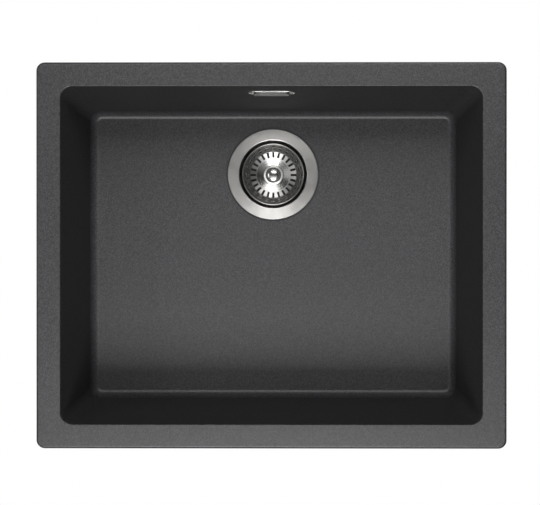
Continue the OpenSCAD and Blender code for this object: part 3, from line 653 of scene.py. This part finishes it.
# Basket: pressed and pierced stainless steel with a rolled rim, two rows of windows, a ring of
# slots in a floor that rises to the wall, and a shallow polished dish for the knob.
slot_count = 24
basket_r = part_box("basket")[1].x
basket_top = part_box("basket")[1].z - floor_z
basket_t = 0.0008
dish_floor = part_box("basket")[0].z - floor_z + basket_t
basket_floor = dish_floor + 0.0018
slotted_rise = 0.0014
basket_wall_r = basket_r - 0.001
basket_floor_r = 0.0324
dish_r = 0.0216
flat_r = 0.0127
slot_in_r = 0.0225
slot_out_r = 0.0295
slot_w = 0.0028
slot_corner_r = 0.0008
slot_cut = 0.006
window_size = (0.012, 0.0044, 0.006)
window_reach = 0.0355
window_rows = (0.40, 0.73)
knob_hole_r = 0.0031
dish_seam_r = dish_r - 0.0003
bead_r = 0.0009
wall_in_r = basket_floor_r - basket_t
basket_outline = (
    arc((basket_r - bead_r, basket_top - bead_r), bead_r, -60, 200, 12)
    + [(basket_wall_r - basket_t, basket_top - 0.0024), (wall_in_r, basket_floor + 0.0036)]
    + arc((wall_in_r - 0.0028, basket_floor + 0.0044), 0.0028, -10, -72, 5)
    + [(slot_out_r - 0.0006, basket_floor + slotted_rise - 0.00012)]
    + [(dish_r + 0.0009, basket_floor + 0.00012), (dish_r + 0.0002, basket_floor + 0.00004)]
    + [(dish_r - 0.0004, basket_floor - 0.00010), (flat_r + 0.0006, dish_floor + 0.00006)]
    + [(flat_r - 0.0002, dish_floor), (knob_hole_r, dish_floor)]
    + [(knob_hole_r, dish_floor - basket_t), (flat_r, dish_floor - basket_t)]
    + [(dish_r, basket_floor - basket_t), (0.0297, basket_floor + slotted_rise - basket_t)]
    + [(0.0310, basket_floor + 0.0015), (0.0320, basket_floor + 0.0028)]
    + [(basket_floor_r, basket_floor + 0.0042), (basket_wall_r, basket_top - 0.0024)]
)
basket = turned("basket", basket_outline, waste_steps, (0, waste_y, floor_z))


def ring_of_cutters(size, reach, height, corner_r=0.0):
    """Boxes in a ring about the waste's axis, each with its middle at a reach and a height."""
    cutters = []
    for i in range(slot_count):
        turn = 2 * math.pi * i / slot_count
        cutter = rounded_box(size, corner_r=corner_r)
        cutter.matrix_world = (
            Matrix.Translation((0, waste_y, floor_z)) @ Matrix.Rotation(turn, 4, "Z")
            @ Matrix.Translation((reach, 0, height)))
        cutters.append(cutter)
    return join_all(cutters)


cut_with(basket, ring_of_cutters(
    (slot_out_r - slot_in_r, slot_w, slot_cut), (slot_in_r + slot_out_r) / 2, basket_floor,
    slot_corner_r))
for share_down in window_rows:
    height = basket_top + share_down * (basket_floor - basket_top)
    cut_with(basket, ring_of_cutters(window_size, window_reach, height))
smooth(basket)
dress(basket, "strainer_basket", "strainer", "polished", basket_steel, "basket")
second_finish(basket, dish_steel, lambda f: waste_reach(f) < dish_seam_r)

# Knob: turned steel, screwed on the stem. It has a sloping foot with a satin border, a waist and
# a domed button to lift it by. The border's steel is paler than the rest, a painted highlight ring.
knob_r = 0.0078
foot_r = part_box("basket_knob")[1].x
foot_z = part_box("basket_knob")[0].z - floor_z
knob_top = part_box("basket_knob")[1].z - floor_z
painted_ring_from_r = 0.0099
cap_r = 0.028
cap_mm = (6.6, 5.2, 3.8, 2.4, 1.2, 0)
cap = [(mm / 1000, knob_top - (mm / 1000) ** 2 / (2 * cap_r)) for mm in cap_mm]
knob_outline = (
    [(0, foot_z), (foot_r - 0.0002, foot_z), (foot_r, foot_z + 0.0002)]
    + [(foot_r, foot_z + 0.0004), (foot_r - 0.0002, foot_z + 0.0006)]
    + [(0.0104, foot_z + 0.0011), (0.0101, foot_z + 0.0011), (0.0096, foot_z + 0.0007)]
    + [(0.0056, foot_z + 0.0007), (0.0048, foot_z + 0.0012), (0.0046, foot_z + 0.0022)]
    + [(0.0046, foot_z + 0.0050), (0.0052, foot_z + 0.0060), (knob_r - 0.0002, foot_z + 0.0068)]
    + arc((knob_r - 0.0012, knob_top - 0.0021), 0.0012, -20, 72, 6)
    + cap
)
knob = turned("knob", knob_outline, 96, (0, waste_y, floor_z), closed=False)
smooth(knob)
dress(knob, "knob", "stopper", "polished", knob_steel, "basket_knob")
second_finish(knob, highlight_painted_foot_steel, lambda f: waste_reach(f) > painted_ring_from_r)

# Overflow cover: a thin stainless plate on the rear wall with a shallow hood over the opening,
# pressed from the same sheet, open along its lower edge and held by two screws.
cover_w = 0.056
cover_h = 0.024
cover_t = 0.001
cover_gap = 0.0001
hood_w = 0.043
hood_h = 0.018
hood_out = 0.0021
hood_wall = 0.0008
hood_round = 0.0015
hood_corner_r = 0.004
hood_in_plate = 0.0003
hollow_corner_r = 0.0032
hollow_cut = 0.006
plate_round = 0.0003
screw_x = 0.0245
screw_bore_r = 0.0019
screw_seat_r = 0.0025
screw_seat_depth = 0.0006
screw_bore_mid = 0.0024
screw_bore_cut = 0.004
cover_slack = 0.00005
painted_highlight_tilt = 0.30
plate_mid = -cover_gap - cover_t / 2
plate_face = -cover_gap - cover_t
hood_front = plate_face - hood_out


def round_off(piece, test, radius, steps):
    """Round the edges that pass the test."""
    only(piece)
    bpy.ops.object.mode_set(mode="EDIT")
    pick(piece, "EDGE", test)
    bpy.ops.mesh.bevel(offset=radius, segments=steps, affect="EDGES")
    bpy.ops.object.mode_set(mode="OBJECT")


def open_end(edge):
    """An edge of the hood's lower end, which stays open."""
    return all(close(point.co.y, hood_h / 2, cover_slack) for point in edge.verts)


def painted_highlight_edge(face):
    """A face of the plate's edge that looks up; it gets paler polished steel as a painted
    highlight.
    """
    off_wall = -(overflow_frame.inverted() @ face.center).z
    return face.normal.z > painted_highlight_tilt and off_wall < -plate_face


cover = rounded_box((cover_w, cover_h, cover_t), (0, 0, plate_mid), cover_h / 3, 8)
round_off(cover, lambda e: level_edge(e, plate_face, cover_slack), plate_round, 2)
hood = rounded_box(
    (hood_w, hood_h, hood_out + hood_in_plate),
    (0, 0, plate_face - hood_out / 2 + hood_in_plate / 2), hood_corner_r, 8, both_ends=False)
round_off(hood, lambda e: level_edge(e, hood_front, cover_slack) and not open_end(e),
          hood_round, 4)
cut_with(cover, hood, "UNION")
hollow = rounded_box(
    (hood_w - 2 * hood_wall, hood_h, hollow_cut),
    (0, hood_wall, hood_front + hood_wall + hollow_cut / 2), hollow_corner_r, 8, both_ends=False)
cut_with(cover, hollow)
for side in (-1, 1):
    bpy.ops.mesh.primitive_cone_add(
        vertices=40, radius1=screw_seat_r, radius2=screw_bore_r, depth=screw_seat_depth,
        location=(side * screw_x, 0, plate_face + screw_seat_depth / 2))
    cut_with(cover, bpy.context.object)
    bpy.ops.mesh.primitive_cylinder_add(
        vertices=40, radius=screw_bore_r, depth=screw_bore_cut,
        location=(side * screw_x, 0, plate_face + screw_bore_mid))
    cut_with(cover, bpy.context.object)
cover.matrix_world = overflow_frame
fix_place(cover)
smooth(cover)
dress(cover, "overflow_cover_plate", "sink", "polished", dark_painted_cover_steel, "overflow_cover")
# the plate's upward edge gets the paler polished steel: a painted highlight line
second_finish(cover, polished_steel, painted_highlight_edge)

# Overflow screws: two raised countersunk screws with a cross recess, through the wall into the
# plastic box behind it.
head_r = 0.0024
head_dome_r = 0.0059
head_dome_mid = 0.00535
head_span = math.degrees(math.asin(head_r / head_dome_r))
shank_r = 0.0018
recess_size = (0.0006, 0.0030, 0.0016)
recess_mid = -0.0005
recess_turn = 0.35
screw_outline = (
    arc((0, head_dome_mid), head_dome_r, -90, -90 + head_span, 6)
    + [(shank_r, 0.0006), (shank_r, 0.0170), (0, 0.0178)]
)
screw_pieces = []
for side in (-1, 1):
    screw = turned("screw", screw_outline, 48, closed=False)
    for turn in (0, math.pi / 2):
        bpy.ops.mesh.primitive_cube_add(size=1, location=(0, 0, recess_mid), scale=recess_size)
        recess = bpy.context.object
        recess.rotation_euler = (0, 0, turn + recess_turn * side)
        cut_with(screw, recess)
    screw.location = (side * screw_x, 0, plate_face)
    screw_pieces.append(screw)
overflow_pair = join_all(screw_pieces)
fix_place(overflow_pair)
overflow_pair.matrix_world = overflow_frame
fix_place(overflow_pair)
smooth(overflow_pair)
dress(overflow_pair, "overflow_screw_pair", "sink", "polished", polished_steel,
      "overflow_screws")


# Fittings of moulded plastic, rubber and plated steel. Each has the shape of its solid, with the
# small rounded edges that a moulding or a stamping has.
def plain(name, colour, roughness, scale, amount, metallic=0.0):
    """A finish with a fine mottle in its colour and roughness."""
    material, surface, add = shader_nodes(name)
    links = material.node_tree.links
    place = add("ShaderNodeTexCoord").outputs["Object"]
    mottle = add("ShaderNodeTexNoise", {"Vector": place, "Scale": scale, "Detail": 3.0})
    light = tuple(min(1.0, c * (1 + amount)) for c in colour) + (1,)
    dark = tuple(c * (1 - amount) for c in colour) + (1,)
    tone = add("ShaderNodeMix", {"Factor": mottle.outputs["Fac"], "A": dark, "B": light},
               data_type="RGBA")
    links.new(tone.outputs["Result"], surface.inputs["Base Color"])
    rough = add("ShaderNodeMapRange", {"Value": mottle.outputs["Fac"],
                                       "To Min": max(0.05, roughness - 0.08),
                                       "To Max": roughness + 0.08})
    links.new(rough.outputs["Result"], surface.inputs["Roughness"])
    surface.inputs["Metallic"].default_value = metallic
    return material


finishes = {
    "rubber": plain("black rubber", (0.022, 0.022, 0.023), 0.62, 400, 0.25),
    "moulding": plain("white polypropylene", (0.72, 0.72, 0.70), 0.42, 220, 0.05),
    "hose": plain("grey hose plastic", (0.50, 0.51, 0.52), 0.45, 200, 0.06),
    "fixings": plain("zinc plated steel", (0.56, 0.57, 0.60), 0.32, 260, 0.12, 1.0),
    "brass": plain("turned brass", (0.62, 0.44, 0.18), 0.30, 300, 0.10, 1.0),
    "polished": polished_steel,
    "brushed": flange_steel,
    "composite": granite_material,
}
slot_of_node = {row["node"]: row["material_slot"] for row in frame["record"]["subparts"]}
flat_within = 0.5
sharp_from = 40


def soft_edged(node_name, edge_r, weighting="FACE_AREA"):
    """A copy of a node's solid with rounded edges and smooth shading, in the node's place."""
    solid = frame["nodes"][node_name]
    piece = bpy.data.objects.new(node_name + "_finished", solid.data.copy())
    bpy.context.collection.objects.link(piece)
    only(piece)
    bpy.ops.object.mode_set(mode="EDIT")
    bpy.ops.mesh.select_all(action="SELECT")
    bpy.ops.mesh.remove_doubles(threshold=merge_gap)
    bpy.ops.mesh.dissolve_limited(angle_limit=math.radians(flat_within))
    bpy.ops.object.mode_set(mode="OBJECT")
    step = piece.modifiers.new("edges", "BEVEL")
    step.width = edge_r
    step.segments = 2
    step.limit_method = "ANGLE"
    step.angle_limit = math.radians(sharp_from)
    bpy.ops.object.modifier_apply(modifier=step.name)
    smooth(piece, sharp_from, weighting)
    finish = slot_of_node[node_name]
    dress(piece, node_name + "_finished", body_of(solid)[0], finish, finishes[finish],
          node_name)


# the waste body's long narrow facets shade evenly only when they are weighted by their corners
soft_edged("waste_body", 0.0006, "CORNER_ANGLE")
edge_rs = {"overflow_elbow": 0.0004, "hose_nut_upper": 0.0003, "hose_nut_lower": 0.0003}
for number in range(1, clip_count + 1):
    edge_rs[f"clip_arm_{number}"] = 0.0002
    edge_rs[f"clip_screw_{number}"] = 0.0002
    edge_rs[f"clip_washer_{number}"] = 0.00015
for node_name, edge_r in edge_rs.items():
    soft_edged(node_name, edge_r)

# Overflow hose: a ribbed tube of grey plastic, blown in one length, pushed on the spigots of the
# overflow box and the waste body, and held by the two nuts.
hose_r = 0.0102
hose_valley_r = 0.0088
hose_bore_r = 0.00745
rib_pitch = 0.0034
cuff_len = 0.014
hose_straight = 0.021
nut_low, nut_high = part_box("hose_nut_upper")
hose_y = (nut_low.y + nut_high.y) / 2
nut_low, nut_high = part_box("hose_nut_lower")
hose_low_z = (nut_low.z + nut_high.z) / 2
hose_top_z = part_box("overflow_hose")[1].z
hose_end_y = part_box("overflow_hose")[0].y
hose_bend_r = hose_y - hose_end_y - hose_straight
hose_drop = hose_top_z - hose_low_z - hose_bend_r
hose_len = hose_drop + hose_bend_r * math.pi / 2 + hose_straight
rib_count = int((hose_len - 2 * cuff_len) / rib_pitch)
rib_start = (hose_len - rib_count * rib_pitch) / 2
lip = 0.002
lip_slope = 0.0002
skin = [(hose_r, 0), (hose_r, lip), (hose_valley_r, lip + lip_slope)]
# one rib, as shares of the pitch and of the rib's height
rib_shape = (
    (0.06, 0.10), (0.20, 0.55), (0.36, 0.95), (0.5, 1.0), (0.64, 0.95), (0.80, 0.55), (0.94, 0.10))
for i in range(rib_count):
    for share, rise in rib_shape:
        skin.append((hose_valley_r + rise * (hose_r - hose_valley_r),
                     rib_start + (i + share) * rib_pitch))
skin += [(hose_valley_r, hose_len - lip - lip_slope), (hose_r, hose_len - lip)]
skin += [(hose_r, hose_len)]
bore = [(hose_bore_r, hose_len * (1 - i / rib_count)) for i in range(rib_count + 1)]
hose = turned("hose", skin + bore, 32)
# the route's knots in (Y, Z), each with the ends of its two handles, where this share of the
# radius draws a quarter of a circle
quarter_share = 0.5523
bend_handle = quarter_share * hose_bend_r
drop_handle = 0.01
level_handle = 0.005
bend_top_z = hose_low_z + hose_bend_r
bend_end_y = hose_y - hose_bend_r
knots = (
    ((hose_y, hose_top_z), (hose_y, hose_top_z + drop_handle), (hose_y, hose_top_z - drop_handle)),
    ((hose_y, bend_top_z), (hose_y, bend_top_z + drop_handle), (hose_y, bend_top_z - bend_handle)),
    ((bend_end_y, hose_low_z), (bend_end_y + bend_handle, hose_low_z),
     (bend_end_y - level_handle, hose_low_z)),
    ((hose_end_y, hose_low_z), (hose_end_y + level_handle, hose_low_z),
     (hose_end_y - level_handle, hose_low_z)),
)
bpy.ops.curve.primitive_bezier_curve_add(location=(0, 0, 0))
route = bpy.context.object
route.data.resolution_u = 48
line = route.data.splines[0]
line.bezier_points.add(len(knots) - 2)
for knot, (place, before, after) in zip(line.bezier_points, knots):
    knot.handle_left_type = knot.handle_right_type = "FREE"
    knot.co = (0, *place)
    knot.handle_left = (0, *before)
    knot.handle_right = (0, *after)
only(hose)
step = hose.modifiers.new("route", "CURVE")
step.object = route
step.deform_axis = "POS_Z"
bpy.ops.object.modifier_apply(modifier=step.name)
bpy.data.objects.remove(route, do_unlink=True)
smooth(hose, angle=50)
dress(hose, "ribbed_hose", "sink", "hose", finishes["hose"], "overflow_hose")

# Pieces that are out of sight, such as the seals, the stem and the washers, keep their solids.
# Each gets the finish that its material slot names.
for node_name, node_piece in frame["nodes"].items():
    node_piece.data.materials.clear()
    node_piece.data.materials.append(finishes[slot_of_node[node_name]])

low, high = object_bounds()
